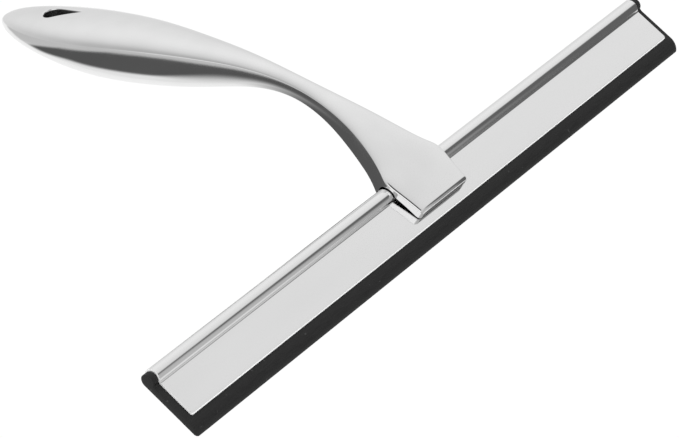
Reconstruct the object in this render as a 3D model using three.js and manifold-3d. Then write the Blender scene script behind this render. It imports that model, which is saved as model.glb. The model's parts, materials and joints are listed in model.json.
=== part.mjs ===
// Hand squeegee for windows: a rubber blade held in a folded steel channel, which is clamped
// in the head of a cast metal handle by a screwed lower jaw.
//
// Millimetres, +Z up. The squeegee lies as it does on a table, on its lip and on the belly of
// its grip: +X runs along the blade, the lip faces -Y and the handle runs back to +Y.
//
// Most shapes are drawn in "blade axes": X along the blade, Y back from the channel's front
// edge, Z up from the channel's flat top face. One group leans them all onto the table.

import * as THREE from 'three';
import { mergeVertices } from 'three/addons/utils/BufferGeometryUtils.js';
import Module from 'manifold-3d';

// Channel: one sheet, folded round a bead at the back
const CHANNEL_LENGTH = 249;
const SHEET = 0.8;
const BEAD_RADIUS = 2.9;            // outside of the rolled bead
const BEAD_BACK = 15.7;             // bead's centre, back from the front edge
const BEAD_DROP = 1.0;              // bead's centre, below the flat top face
const FLANGE_FRONT = 0.6;           // lower flange's edge, back from the front edge

// Rubber blade
const RUBBER_LENGTH = 254;
const RUBBER_GAP = 0.2;             // all round, inside the channel
const LIP_REACH = 5.4;              // wiping edge, ahead of the channel's front edge
const LIP_SHOULDER = 1.5;           // where the lip's rounded front starts
const LIP_CURL = [4.5, 0.2];        // control point of that curve, ahead of the edge and down
const LIP_BOTTOM = 3.07;            // wiping edge, below the flat top face

// Head of the handle
const CLEARANCE = 0.3;              // between clamped faces
const NOSE_FRONT = 2.5;             // front wall's foot, back from the channel's front edge
const NOSE_BACK = 5.2;              // back of the foot that presses on the channel
const NOSE_SLOPE = [1.8, 2.7];      // how far the front wall leans back, and over what height
const HOOD_GAP = 0.85;              // from the channel up to the hood, behind the nose
const HOOD_RADIUS = 3.35;           // of the hollow round the bead
const SEAT_FRONT = 19.05;           // front of the solid block behind the bead
const SEAT_BACK = 29.2;
const SEAT_LEVEL = -5.0;            // flat seat on the block's underside
const REACH = 40;                   // cutters run this far past the head, wherever it is open

// Lower jaw
const JAW_FRONT = 4.6;
const JAW_BACK = 28.4;
const JAW_BOTTOM = -7.2;
const JAW_TOE_BEVEL = 1.6;
const JAW_HALF_FRONT = 11.4;
const JAW_HALF_WIDE = 12.2;
const JAW_HALF_BACK = 6.2;
const JAW_WIDE_AT = 15.0;           // distance back at which the jaw is widest
const JAW_WAIST = 9.2;              // control point of the curve behind that
const JAW_WAIST_AT = 20.0;
const JAW_CORNER = 3.0;

// M3 pan-head screws with spring lock washers
const SCREW_SPREAD = 3.5;           // each side of the middle
const SCREW_BACK = 21.8;
const SCREW_RADIUS = 1.4;
const SCREW_TIP = -0.2;
const SCREW_CHAMFER = 0.4;
const HOLE_RADIUS = 1.6;
const HOLE_TOP = 0.3;
const JAW_HOLE_RADIUS = 1.7;
const HEAD_RADIUS = 2.75;
const HEAD_HEIGHT = 1.9;
const HEAD_EDGE = 0.7;              // height of the head's straight side
const RECESS_LENGTH = 3.0;
const RECESS_WIDTH = 0.7;
const RECESS_DEPTH = 1.1;
const WASHER_INNER = 1.6;
const WASHER_OUTER = 2.6;
const WASHER_THICKNESS = 0.7;
const WASHER_SPLIT = 0.5;
const WASHER_SLANT = 0.5;           // radians
const STACK_GAP = 0.15;             // jaw to washer, and washer to screw head
const ROUND_SIDES = 28;             // facets round a screw or a washer

// Handle, as sections across a spine: the spine's place (back, up), half the width there,
// and how far the section reaches below and above it. The last one is the closed tip.
const HANDLE_SECTIONS = [
  { back: 2.5, up: 2.8, half: 11.8, below: 8.6, above: 1.1 },
  { back: 10.5, up: 2.9, half: 12.7, below: 8.6, above: 1.1 },
  { back: 17.6, up: 2.9, half: 13.4, below: 8.6, above: 1.2 },
  { back: 24.0, up: 2.8, half: 10.6, below: 8.5, above: 1.2 },
  { back: 39.7, up: 1.5, half: 5.8, below: 8.3, above: 1.4 },
  { back: 60.7, up: -4.7, half: 3.0, below: 5.5, above: 1.7 },
  { back: 80.2, up: -14.4, half: 4.3, below: 8.3, above: 2.3 },
  { back: 98.2, up: -26.9, half: 7.2, below: 13.1, above: 3.5 },
  { back: 115.4, up: -40.6, half: 10.1, below: 15.4, above: 4.9 },
  { back: 131.6, up: -55.1, half: 11.7, below: 14.4, above: 6.0 },
  { back: 148.1, up: -69.7, half: 11.9, below: 10.9, above: 6.5 },
  { back: 165.4, up: -83.0, half: 11.9, below: 8.1, above: 6.2 },
];
const LOFT_SIDES = 40;
const LOFT_STEPS = 56;
const TIP_STARTS = 0.8;             // share of the handle's length at which it starts to close
const TIP_FULLNESS = 2.4;
// Superellipse exponents at the head and at the grip, and the shares of the handle's length
// between which one turns into the other
const UNDERSIDE = { head: 7.0, grip: 2.3, from: 0.12, to: 0.52 };
const TOP_FACE = { head: 4.0, grip: 2.25, from: 0.12, to: 0.45 };

// Hanging hole: a drop, round towards the tip and pointed towards the head
const DROP_RADIUS = 3.4;
const DROP_LENGTH = 14.6;
const DROP_BACK = 146.5;            // centre of its round end, half way through the handle
const DROP_UP = -70.1;
const DROP_TURN = THREE.MathUtils.degToRad(13);     // its point turns towards +X

const STEEL = { color: 0xd9dadb, roughness: 0.2, metalness: 1 };
const CAST = { color: 0xcfd0d1, roughness: 0.26, metalness: 1 };
const RUBBER = { color: 0x242424, roughness: 0.75, metalness: 0 };

const wasm = await Module();
wasm.setup();

function toSolid(geometry) {
  const bare = geometry.clone();
  bare.deleteAttribute('normal');
  bare.deleteAttribute('uv');
  const merged = mergeVertices(bare, 1e-4);
  return new wasm.Manifold(new wasm.Mesh({
    numProp: 3,
    vertProperties: merged.attributes.position.array,
    triVerts: Uint32Array.from(merged.index.array),
  }));
}

function toGeometry(solid) {
  const mesh = solid.getMesh();
  const geometry = new THREE.BufferGeometry();
  geometry.setAttribute('position', new THREE.BufferAttribute(mesh.vertProperties, 3));
  geometry.setIndex(new THREE.BufferAttribute(mesh.triVerts, 1));
  geometry.computeVertexNormals();
  return geometry;
}

function part(name, geometry, finish) {
  const mesh = new THREE.Mesh(geometry, new THREE.MeshStandardMaterial(finish));
  mesh.name = name;
  return mesh;
}

// Extrudes an outline and centres it in its depth.
function extrude(outline, depth, curveSegments) {
  const settings = { depth, bevelEnabled: false, curveSegments };
  return new THREE.ExtrudeGeometry(outline, settings).translate(0, 0, -depth / 2);
}

// Extrudes an outline drawn as (Y, Z) along X, centred on X = 0.
function alongBlade(outline, length, curveSegments = 14) {
  const geometry = extrude(outline, length, curveSegments);
  const x = new THREE.Vector3(1, 0, 0);
  const y = new THREE.Vector3(0, 1, 0);
  const z = new THREE.Vector3(0, 0, 1);
  return geometry.applyMatrix4(new THREE.Matrix4().makeBasis(y, z, x));
}

// A closed outline through (Y, Z) corners.
function polygon(corners) {
  return new THREE.Shape(corners.map(([x, y]) => new THREE.Vector2(x, y)));
}

// Turns a lathe profile's axis from Y to Z.
function spin(profile, segments) {
  const points = profile.map(([radius, height]) => new THREE.Vector2(radius, height));
  return new THREE.LatheGeometry(points, segments).rotateX(Math.PI / 2);
}

function pin(radius, bottom, top, x, y) {
  const geometry = new THREE.CylinderGeometry(radius, radius, top - bottom, ROUND_SIDES);
  return toSolid(geometry.rotateX(Math.PI / 2).translate(x, y, (top + bottom) / 2));
}

function block(width, depth, height, x, y, z) {
  return toSolid(new THREE.BoxGeometry(width, depth, height).translate(x, y, z));
}

function bladeChannel() {
  const inner = BEAD_RADIUS - SHEET;
  const outerCrease = Math.PI - Math.asin(BEAD_DROP / BEAD_RADIUS);
  const innerCrease = Math.PI - Math.asin((BEAD_DROP - SHEET) / inner);
  const underside = -BEAD_DROP - BEAD_RADIUS;
  const outline = new THREE.Shape();
  outline.moveTo(0, -SHEET);
  outline.lineTo(0, 0);
  outline.absarc(BEAD_BACK, -BEAD_DROP, BEAD_RADIUS, outerCrease, -Math.PI / 2, true);
  outline.lineTo(FLANGE_FRONT, underside);
  outline.lineTo(FLANGE_FRONT, underside + SHEET);
  outline.absarc(BEAD_BACK, -BEAD_DROP, inner, -Math.PI / 2, innerCrease, false);
  return alongBlade(outline, CHANNEL_LENGTH);
}

function rubberBlade() {
  const bulb = BEAD_RADIUS - SHEET - RUBBER_GAP;
  const top = -SHEET - RUBBER_GAP;
  const bottom = -BEAD_DROP - bulb;
  const step = FLANGE_FRONT - CLEARANCE;
  const outline = new THREE.Shape();
  outline.moveTo(-LIP_SHOULDER, top);
  outline.quadraticCurveTo(-LIP_CURL[0], top - LIP_CURL[1], -LIP_REACH, -LIP_BOTTOM);
  outline.lineTo(step, -LIP_BOTTOM);
  outline.lineTo(step, bottom);
  outline.absarc(BEAD_BACK, -BEAD_DROP, bulb, -Math.PI / 2, Math.PI, false);
  return alongBlade(outline, RUBBER_LENGTH, 10);
}

const spinePoints = HANDLE_SECTIONS.map(({ back, up }) => new THREE.Vector3(0, back, up));
const spine = new THREE.CatmullRomCurve3(spinePoints, false, 'catmullrom');
const girths = HANDLE_SECTIONS.map(({ half, below, above }) => new THREE.Vector3(half, below, above));
const girth = new THREE.CatmullRomCurve3(girths, false, 'catmullrom');

// How far the section at this share of the length is closed towards the tip, from 1 to 0.
function tipClosing(along) {
  const past = Math.max(0, (along - TIP_STARTS) / (1 - TIP_STARTS));
  return Math.sqrt(Math.max(1 - past ** TIP_FULLNESS, 1e-5));
}

function squareness({ head, grip, from, to }, along) {
  return THREE.MathUtils.lerp(head, grip, THREE.MathUtils.smoothstep(along, from, to));
}

// A point of the handle's skin: `across` and `upward` are the cosine and sine of the way round.
function skinPoint(along, across, upward, target) {
  const [half, below, above] = girth.getPoint(along).toArray();
  const ahead = spine.getTangent(along);
  const normal = new THREE.Vector3(0, -ahead.z, ahead.y);
  const power = 2 / squareness(upward < 0 ? UNDERSIDE : TOP_FACE, along);
  const width = half * Math.sign(across) * Math.abs(across) ** power;
  const height = (upward < 0 ? -below : above) * Math.abs(upward) ** power;
  const closing = tipClosing(along);
  target.copy(spine.getPoint(along)).addScaledVector(normal, height * closing);
  target.x += width * closing;
  return target;
}

// Roots near zero would pull a ring's first and last points apart, so tiny values become zero.
function rounded(value) {
  return Math.round(value * 1e5) / 1e5;
}

// The handle's solid skin: a unit cylinder whose rings are laid along the spine. The rings
// bunch up towards the rounded tip.
function handleLoft() {
  const geometry = new THREE.CylinderGeometry(1, 1, 1, LOFT_SIDES, LOFT_STEPS);
  const position = geometry.attributes.position;
  const point = new THREE.Vector3();
  for (let i = 0; i < position.count; i += 1) {
    const along = Math.sin((0.5 - position.getY(i)) * Math.PI / 2);
    const [across, upward] = [position.getX(i), -position.getZ(i)].map(rounded);
    if (Math.hypot(across, upward) > 0.5) {
      skinPoint(along, across, upward, point);
    } else {
      point.copy(spine.getPoint(along));
    }
    position.setXYZ(i, point.x, point.y, point.z);
  }
  return toSolid(geometry);
}

// Cut from the head: the passage for the bladed channel, open at both sides and below, and the
// flat seat of the lower jaw.
function headCut() {
  const hollowStart = Math.PI - Math.asin((HOOD_GAP + BEAD_DROP) / HOOD_RADIUS);
  const outline = new THREE.Shape();
  outline.moveTo(-REACH, -REACH);
  outline.lineTo(SEAT_BACK, -REACH);
  outline.lineTo(SEAT_BACK, SEAT_LEVEL);
  outline.lineTo(SEAT_FRONT, SEAT_LEVEL);
  outline.lineTo(SEAT_FRONT, -BEAD_DROP);
  outline.absarc(BEAD_BACK, -BEAD_DROP, HOOD_RADIUS, 0, hollowStart, false);
  outline.lineTo(NOSE_BACK, HOOD_GAP);
  outline.lineTo(NOSE_BACK, CLEARANCE);
  outline.lineTo(-REACH, CLEARANCE);
  return toSolid(alongBlade(outline, 2 * REACH));
}

// Cut from the head's front, so that the front wall leans back from its foot.
function noseCut() {
  const [back, height] = NOSE_SLOPE;
  const foot = 2 * CLEARANCE;
  return toSolid(alongBlade(polygon([
    [-REACH, foot], [NOSE_FRONT, foot], [NOSE_FRONT + back, foot + height],
    [NOSE_FRONT + back, REACH], [-REACH, REACH],
  ]), 2 * REACH));
}

// The hanging hole's cutter, upright on the table, so it leans back against the blade axes.
function dropCut(lean) {
  const taper = Math.acos(DROP_RADIUS / (DROP_LENGTH - DROP_RADIUS));
  const outline = new THREE.Shape();
  outline.absarc(0, 0, DROP_RADIUS, taper - Math.PI / 2, 1.5 * Math.PI - taper, false);
  outline.lineTo(0, -(DROP_LENGTH - DROP_RADIUS));
  const geometry = extrude(outline, 2 * REACH, 20).rotateZ(DROP_TURN).rotateX(-lean);
  return toSolid(geometry.translate(0, DROP_BACK, DROP_UP));
}

function screwHoles(radius, bottom, top) {
  const left = pin(radius, bottom, top, -SCREW_SPREAD, SCREW_BACK);
  return left.add(pin(radius, bottom, top, SCREW_SPREAD, SCREW_BACK));
}

function handleCasting(lean) {
  const head = handleLoft().subtract(headCut()).subtract(noseCut());
  const drilled = head.subtract(screwHoles(HOLE_RADIUS, -REACH, HOLE_TOP));
  return toGeometry(drilled.subtract(dropCut(lean)));
}

// The jaw's outline from above, round-cornered at the back.
function jawPlan() {
  const outline = new THREE.Shape();
  outline.moveTo(-JAW_HALF_FRONT, JAW_FRONT);
  outline.lineTo(JAW_HALF_FRONT, JAW_FRONT);
  outline.lineTo(JAW_HALF_WIDE, JAW_WIDE_AT);
  outline.quadraticCurveTo(JAW_WAIST, JAW_WAIST_AT, JAW_HALF_BACK, JAW_BACK - JAW_CORNER);
  outline.quadraticCurveTo(JAW_HALF_BACK, JAW_BACK, JAW_HALF_BACK - JAW_CORNER, JAW_BACK);
  outline.lineTo(-JAW_HALF_BACK + JAW_CORNER, JAW_BACK);
  outline.quadraticCurveTo(-JAW_HALF_BACK, JAW_BACK, -JAW_HALF_BACK, JAW_BACK - JAW_CORNER);
  outline.quadraticCurveTo(-JAW_WAIST, JAW_WAIST_AT, -JAW_HALF_WIDE, JAW_WIDE_AT);
  return toSolid(extrude(outline, 2 * REACH, 8));
}

function clampJaw() {
  const toe = -BEAD_DROP - BEAD_RADIUS - CLEARANCE;
  const heel = SEAT_LEVEL - CLEARANCE;
  const step = SEAT_FRONT - CLEARANCE;
  const profile = polygon([
    [JAW_FRONT, toe], [JAW_FRONT, JAW_BOTTOM + JAW_TOE_BEVEL], [JAW_FRONT + JAW_TOE_BEVEL, JAW_BOTTOM],
    [JAW_BACK, JAW_BOTTOM], [JAW_BACK, heel], [step, heel], [step, toe],
  ]);
  const solid = toSolid(alongBlade(profile, REACH)).intersect(jawPlan());
  return toGeometry(solid.subtract(screwHoles(JAW_HOLE_RADIUS, -REACH, 0)));
}

// One pan-head screw, pointing up, with its cross recess below.
function clampScrew() {
  const headTop = JAW_BOTTOM - 2 * STACK_GAP - WASHER_THICKNESS;
  const headBottom = headTop - HEAD_HEIGHT;
  const geometry = spin([
    [0, headBottom], [HEAD_RADIUS * 0.6, headBottom + 0.2], [HEAD_RADIUS * 0.9, headBottom + 0.7],
    [HEAD_RADIUS, headTop - HEAD_EDGE], [HEAD_RADIUS, headTop], [SCREW_RADIUS, headTop],
    [SCREW_RADIUS, SCREW_TIP - SCREW_CHAMFER], [SCREW_RADIUS - SCREW_CHAMFER, SCREW_TIP], [0, SCREW_TIP],
  ], ROUND_SIDES);
  const recess = block(RECESS_LENGTH, RECESS_WIDTH, 2 * RECESS_DEPTH, 0, 0, headBottom)
    .add(block(RECESS_WIDTH, RECESS_LENGTH, 2 * RECESS_DEPTH, 0, 0, headBottom));
  return toGeometry(toSolid(geometry).subtract(recess));
}

// One spring lock washer: a ring with a slanted split.
function lockWasher() {
  const top = JAW_BOTTOM - STACK_GAP;
  const bottom = top - WASHER_THICKNESS;
  const ring = toSolid(spin([
    [WASHER_INNER, bottom], [WASHER_OUTER, bottom], [WASHER_OUTER, top], [WASHER_INNER, top],
    [WASHER_INNER, bottom],
  ], ROUND_SIDES));
  const split = new THREE.BoxGeometry(WASHER_SPLIT, 2 * WASHER_OUTER, 2 * WASHER_OUTER);
  split.rotateY(WASHER_SLANT).translate(0, 1.5 * WASHER_OUTER, (top + bottom) / 2);
  return toGeometry(ring.subtract(toSolid(split)));
}

// The angle that lays the blade axes on the table, on the lip's edge and the handle's belly.
function restingLean() {
  const point = new THREE.Vector3();
  let steepest = 0;
  for (let along = 0.5; along <= 1; along += 0.001) {
    skinPoint(along, 0, -1, point);
    steepest = Math.max(steepest, Math.atan2(-LIP_BOTTOM - point.z, point.y + LIP_REACH));
  }
  return steepest;
}

const lean = restingLean();
const bladeAxes = new THREE.Group();
bladeAxes.rotation.x = lean;
bladeAxes.add(part('handle_casting', handleCasting(lean), CAST));
bladeAxes.add(part('clamp_jaw', clampJaw(), CAST));
bladeAxes.add(part('blade_channel', bladeChannel(), STEEL));
bladeAxes.add(part('rubber_blade', rubberBlade(), RUBBER));
for (const [side, x] of [['left', -SCREW_SPREAD], ['right', SCREW_SPREAD]]) {
  const screw = part(`clamp_screw_${side}`, clampScrew(), STEEL);
  const washer = part(`lock_washer_${side}`, lockWasher(), STEEL);
  screw.position.set(x, SCREW_BACK, 0);
  washer.position.set(x, SCREW_BACK, 0);
  bladeAxes.add(screw, washer);
}

// The origin is the middle of the footprint, on the table.
const squeegee = new THREE.Group();
squeegee.add(bladeAxes);
squeegee.updateMatrixWorld(true);
const bounds = new THREE.Box3().setFromObject(squeegee, true);
bladeAxes.position.set(0, -(bounds.min.y + bounds.max.y) / 2, -bounds.min.z);

export default squeegee;
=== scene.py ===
"""Window squeegee: fine surfaces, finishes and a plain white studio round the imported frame.

Shapes are drawn in millimetres in "blade axes", as the CAD source draws them: X along the
blade, Y back from the channel's front edge, Z up from the channel's flat top face. The record's
lip_underside mount says where those axes lie in the frame.
"""
import json
import math

import bmesh
import bpy
import numpy as np
from mathutils import Euler, Matrix, Vector
from mathutils.bvhtree import BVHTree

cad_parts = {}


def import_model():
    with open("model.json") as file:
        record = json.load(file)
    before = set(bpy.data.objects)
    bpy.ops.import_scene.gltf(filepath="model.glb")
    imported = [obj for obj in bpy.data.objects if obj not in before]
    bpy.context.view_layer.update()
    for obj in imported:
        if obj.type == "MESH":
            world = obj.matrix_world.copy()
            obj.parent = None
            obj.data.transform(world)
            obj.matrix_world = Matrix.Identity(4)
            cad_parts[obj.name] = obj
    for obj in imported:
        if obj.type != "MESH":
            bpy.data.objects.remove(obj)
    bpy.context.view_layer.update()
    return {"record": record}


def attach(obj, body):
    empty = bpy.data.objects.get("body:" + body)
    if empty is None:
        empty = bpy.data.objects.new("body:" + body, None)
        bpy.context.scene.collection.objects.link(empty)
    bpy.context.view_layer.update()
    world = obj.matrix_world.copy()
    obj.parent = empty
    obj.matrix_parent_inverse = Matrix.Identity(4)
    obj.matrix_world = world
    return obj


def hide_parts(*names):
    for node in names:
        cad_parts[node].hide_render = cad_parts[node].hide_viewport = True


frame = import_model()

MM = 0.001

# Channel
CHANNEL_LENGTH = 249.0
SHEET = 0.8
BEAD_RADIUS = 2.9
BEAD_BACK = 15.7
BEAD_DROP = 1.0
FLANGE_FRONT = 0.6
NECK_FILLET = 0.6                   # inside the bend between the bead and the flat face
EDGE_ROUND = 0.35                   # the flat face's front edge
CHANNEL_CORNER = 0.7                # rounding of the flat face's front corners, seen from above
CHANNEL_CORNER_DEPTH = 6.0          # how far behind the front edge a corner squeezes the section
CHANNEL_BEVEL = 0.12

# Rubber blade
RUBBER_LENGTH = 254.0
RUBBER_GAP = 0.06
BULB_FREE = 2.3                     # the bulb's radius where the channel no longer squeezes it
LIP_REACH = 5.4
LIP_SHOULDER = 1.5
LIP_BOTTOM = 3.07
LIP_ROUNDING = (0.9, 0.2)           # the front's curve aims here: behind the lip's edge, below its top
LIP_CORNER = 1.2                    # rounding of the lip's two ends, seen from above
LIP_CORNER_DEPTH = 5.0
SWELL_PLACES = (0.05, 0.2, 0.35, 0.5)       # past the channel's end, where the bulb swells
ON_BULB = 0.01                      # points this close to the bulb's circle swell with it
RUBBER_BEVEL = 0.2
LIP_MOUNT = (-70.0, -2.55, -LIP_BOTTOM)     # the record's mount on the lip's underside

# Head of the handle
CLEARANCE = 0.3
HEAD_FRONT = 3.35
HEAD_CORNER = 0.9                   # rounding of the front corners, seen from above
HEAD_BROW = 1.4                     # rounding of the nose's top edge
HOOD_FOOT = 5.2                     # back of the nose's bearing on the channel
HOOD_GAP = (0.35, 1.2)              # above the channel, at the hood's foot and at its hollow
HOOD_ROUND = 3.35                   # hollow of the hood over the bead
SEAT_FRONT = 19.05
SEAT_BACK = 29.2
SEAT_LEVEL = -5.0
CUT_FILLET = 0.25
NOSE_RINGS, SLOPE_RINGS, HOLLOW_RINGS, SEAT_RINGS = 12, 12, 26, 14

# Handle: the spine's place (back, up), half the width there, and the reach below and above
HANDLE_SECTIONS = [
    (2.5, 2.8, 11.8, 8.6, 1.1),
    (10.5, 2.9, 12.7, 8.6, 1.1),
    (17.6, 2.9, 13.4, 8.6, 1.2),
    (24.0, 2.8, 10.6, 8.5, 1.2),
    (39.7, 1.5, 5.8, 8.3, 1.4),
    (60.7, -4.7, 3.0, 5.5, 1.7),
    (80.2, -14.4, 4.3, 8.3, 2.3),
    (98.2, -26.9, 7.2, 13.1, 3.5),
    (115.4, -40.6, 10.1, 15.4, 4.9),
    (131.6, -55.1, 11.7, 14.4, 6.0),
    (148.1, -69.7, 11.9, 10.9, 6.5),
    (165.4, -83.0, 11.9, 8.1, 6.2),
]
TIP_STARTS = 0.8
TIP_FULLNESS = 2.4
SQUARE_HEAD = 7.0
SQUARE_GRIP = 2.3
SQUARE_TOP_HEAD = 4.0
SQUARE_TOP_GRIP = 2.25
LOWER_ROUNDS = (0.12, 0.52)         # shares of the spine between which the sections turn from
UPPER_ROUNDS = (0.12, 0.45)         # the head's square outline to the grip's round one
LEANS = (3.2, 4.6)                  # sections between which they come to stand square to the spine
SMALLEST_TIP = 1e-5                 # keeps the last section from shrinking to a point

# Hanging hole, upright on the table
DROP_RADIUS = 3.4
DROP_LENGTH = 14.6
DROP_BACK = 146.5
DROP_UP = -70.1
DROP_TURN = math.radians(13)        # its point turns towards +X
DROP_RIM = 0.7
DROP_FLARE = math.radians(78)       # how far round the rim's rounding goes
DROP_OVERSHOOT = 3.0                # how far the cutter stands out of the metal
RAY_START = 0.1                     # metres above and below the table's level
HOLE_ZONE = (6.0, 10.0)             # half the zone round the hole whose upright wall is rough and darkened with painted shade

# Lower jaw, screws and washers
JAW_FRONT = 4.6
JAW_BACK = 28.4
JAW_BOTTOM = -7.2
JAW_TOE_BEVEL = 1.6
JAW_HALF_FRONT = 11.4
JAW_HALF_WIDE = 12.2
JAW_HALF_BACK = 6.2
JAW_WIDE_AT = 15.0
JAW_CORNER = 3.0
JAW_LOW_ROUND = 0.7                 # rounding along the lower edges
JAW_HIGH_ROUND = 0.2                # rounding along the upper edges
JAW_BEVEL = 0.3
SCREW_SPREAD = 3.5
SCREW_BACK = 21.8
SCREW_RADIUS = 1.5
SCREW_TIP = -0.2
THREAD_PITCH = 0.5
THREAD_DEPTH = 0.27
SCREW_TIP_BEVEL = 0.4
THREAD_ROWS = 8                     # rows of points for each turn of the thread
HOLE_RADIUS = 1.6
HOLE_TOP = 0.3
HOLE_OVERSHOOT = 3.0                # how far the cutter stands out of the block
JAW_HOLE_RADIUS = 1.7
JAW_HOLE_OVERSHOOT = 2.0
HEAD_RADIUS = 2.75
HEAD_HEIGHT = 1.9
HEAD_DOME = 1.15
HEAD_EDGE = 0.12
DOME_FLAT = 0.2                     # radius of the flat at the dome's middle
RECESS = [(-0.5, 1.75, 0.42), (1.2, 0.7, 0.22)]     # height in the head, half length, half width
WASHER_INNER = 1.6
WASHER_OUTER = 2.6
WASHER_THICKNESS = 0.7
WASHER_EDGE = 0.08
WASHER_SPLIT = 0.09                 # half the split's width, in radians
STACK_GAP = 0.15


# ---------------------------------------------------------------- blade axes

def blade_axes():
    """The matrix from blade axes, in millimetres, to the frame, in metres."""
    mounts = {mount["name"]: mount for mount in frame["record"]["mounts"]}
    lip = mounts["lip_underside"]
    place = Vector(LIP_MOUNT) * MM
    up = -Vector(lip["axis"])
    along = Vector((1, 0, 0))
    back = up.cross(along)
    origin = Vector(lip["pos_m"]) - along * place.x - back * place.y - up * place.z
    turn = Matrix((along, back, up)).transposed().to_4x4()
    return Matrix.Translation(origin) @ turn @ Matrix.Scale(MM, 4)


BLADE = blade_axes()


# ---------------------------------------------------------------- mesh helpers

WELD = 1e-4                         # mm
SHARP = math.radians(35)            # faces that meet at more than this stay creased
BEVEL_SHARP = math.radians(50)
BEVEL_SEGMENTS = 3


def mesh_piece(name, vertices, faces, matrix=BLADE):
    """A smooth-shaded object from vertices in blade axes, creased where faces meet sharply."""
    mesh = bpy.data.meshes.new(name)
    mesh.from_pydata([tuple(v) for v in vertices], [], [tuple(f) for f in faces])
    work = bmesh.new()
    work.from_mesh(mesh)
    bmesh.ops.remove_doubles(work, verts=work.verts, dist=WELD)
    bmesh.ops.recalc_face_normals(work, faces=work.faces)
    work.to_mesh(mesh)
    work.free()
    mesh.transform(matrix)
    mesh.validate()
    mesh.shade_smooth()
    mesh.set_sharp_from_angle(angle=SHARP)
    piece = bpy.data.objects.new(name, mesh)
    bpy.context.scene.collection.objects.link(piece)
    return piece


def loft(rings):
    """Vertices and quads through rings of equally many points; both ends stay open."""
    count = len(rings[0])
    faces = []
    for ring in range(len(rings) - 1):
        for point in range(count):
            following = (point + 1) % count
            start = ring * count
            faces.append((start + point, start + following,
                          start + count + following, start + count + point))
    return np.concatenate(rings), faces


def capped(rings):
    """A loft whose two ends are closed with one face each."""
    vertices, faces = loft([np.array(ring) for ring in rings])
    count = len(rings[0])
    faces += [tuple(range(count)), tuple(range(len(vertices) - count, len(vertices)))]
    return vertices, faces


def ladder(first, count):
    """Faces that close a ring whose point i lies across from point count - i."""
    half = count // 2
    faces = [(first, first + 1, first + count - 1)]
    for point in range(1, half - 1):
        across = first + count - point
        faces.append((first + point, first + point + 1, across - 1, across))
    faces.append((first + half - 1, first + half, first + half + 1))
    return faces


def resample(points, segments):
    """The same line with its points spread evenly along it."""
    points = np.asarray(points, float)
    steps = np.hypot(*np.diff(points, axis=0).T)
    run = np.concatenate([[0], np.cumsum(steps)])
    places = np.linspace(0, run[-1], segments + 1)
    return np.stack([np.interp(places, run, column) for column in points.T], axis=1)


def arc(centre, radius, start, end, segments):
    """Points (Y, Z) along an arc, with angles in radians."""
    turn = np.linspace(start, end, segments + 1)
    return [(centre[0] + radius * math.cos(a), centre[1] + radius * math.sin(a)) for a in turn]


def curve(first, corner, last, segments):
    """Points along a smooth bend from first to last that aims at corner."""
    first, corner, last = np.array(first), np.array(corner), np.array(last)
    return [(1 - s) ** 2 * first + 2 * s * (1 - s) * corner + s * s * last
            for s in np.linspace(0, 1, segments + 1)]


def modify(piece, kind, **settings):
    """Adds a modifier and applies it to the mesh."""
    modifier = piece.modifiers.new(kind.lower(), kind)
    for key, value in settings.items():
        setattr(modifier, key, value)
    depsgraph = bpy.context.evaluated_depsgraph_get()
    mesh = bpy.data.meshes.new_from_object(piece.evaluated_get(depsgraph))
    piece.modifiers.clear()
    old, piece.data = piece.data, mesh
    bpy.data.meshes.remove(old)


def bevel(piece, width):
    """Rounds a piece's sharp edges by a width in millimetres."""
    modify(piece, "BEVEL", width=width * MM, segments=BEVEL_SEGMENTS, limit_method="ANGLE",
           angle_limit=SHARP, harden_normals=False)
    piece.data.shade_smooth()
    piece.data.set_sharp_from_angle(angle=BEVEL_SHARP)


def cut(piece, cutter):
    """Subtracts a closed object from a piece and deletes the cutter."""
    modify(piece, "BOOLEAN", object=cutter, operation="DIFFERENCE", solver="EXACT")
    bpy.data.objects.remove(cutter)
    piece.data.shade_smooth()
    piece.data.set_sharp_from_angle(angle=SHARP)


def round_bar(name, radius, bottom, top, x, y, segments=48):
    """An upright cylinder in blade axes, used as a cutter."""
    turn = np.linspace(0, 2 * np.pi, segments, endpoint=False)
    around = (x + radius * np.cos(turn), y + radius * np.sin(turn))
    rings = [np.stack([*around, np.full(segments, z)], axis=1) for z in (bottom, top)]
    return mesh_piece(name, *capped(rings))


# ---------------------------------------------------------------- handle

# Steps along the parts of a section's outline
UPPER_STEPS = 27
WALL_STEPS = 9
FILLET_STEPS = 4
FLOOR_STEPS = UPPER_STEPS - WALL_STEPS - FILLET_STEPS

# A section's fine outline: its steps, and the steps where side and corner end if nothing cuts it
FINE_STEPS = 400
SIDE_END = 179
CORNER_END = 199


def spline(knots):
    """A line of continuous curvature through evenly numbered knots (a natural cubic spline)."""
    knots = np.array(knots, float)
    last = len(knots) - 1
    system = np.eye(last + 1)
    bend = np.zeros_like(knots)
    for i in range(1, last):
        system[i, i - 1:i + 2] = (1, 4, 1)
        bend[i] = 6 * (knots[i - 1] - 2 * knots[i] + knots[i + 1])
    bend = np.linalg.solve(system, bend)

    def at(place):
        i = min(int(place), last - 1)
        b = place - i
        a = 1 - b
        curving = (a ** 3 - a) * bend[i] + (b ** 3 - b) * bend[i + 1]
        return a * knots[i] + b * knots[i + 1] + curving / 6

    return at


handle_line = spline(HANDLE_SECTIONS)
LAST_SECTION = len(HANDLE_SECTIONS) - 1
HEAD_PLACES = np.linspace(0, 5, 501)        # along the sections that make the head and neck
HEAD_BACKS = [handle_line(place)[0] for place in HEAD_PLACES]


def smoothstep(value, low, high):
    """Rises smoothly from 0 at low to 1 at high."""
    share = min(max((value - low) / (high - low), 0), 1)
    return share * share * (3 - 2 * share)


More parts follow.
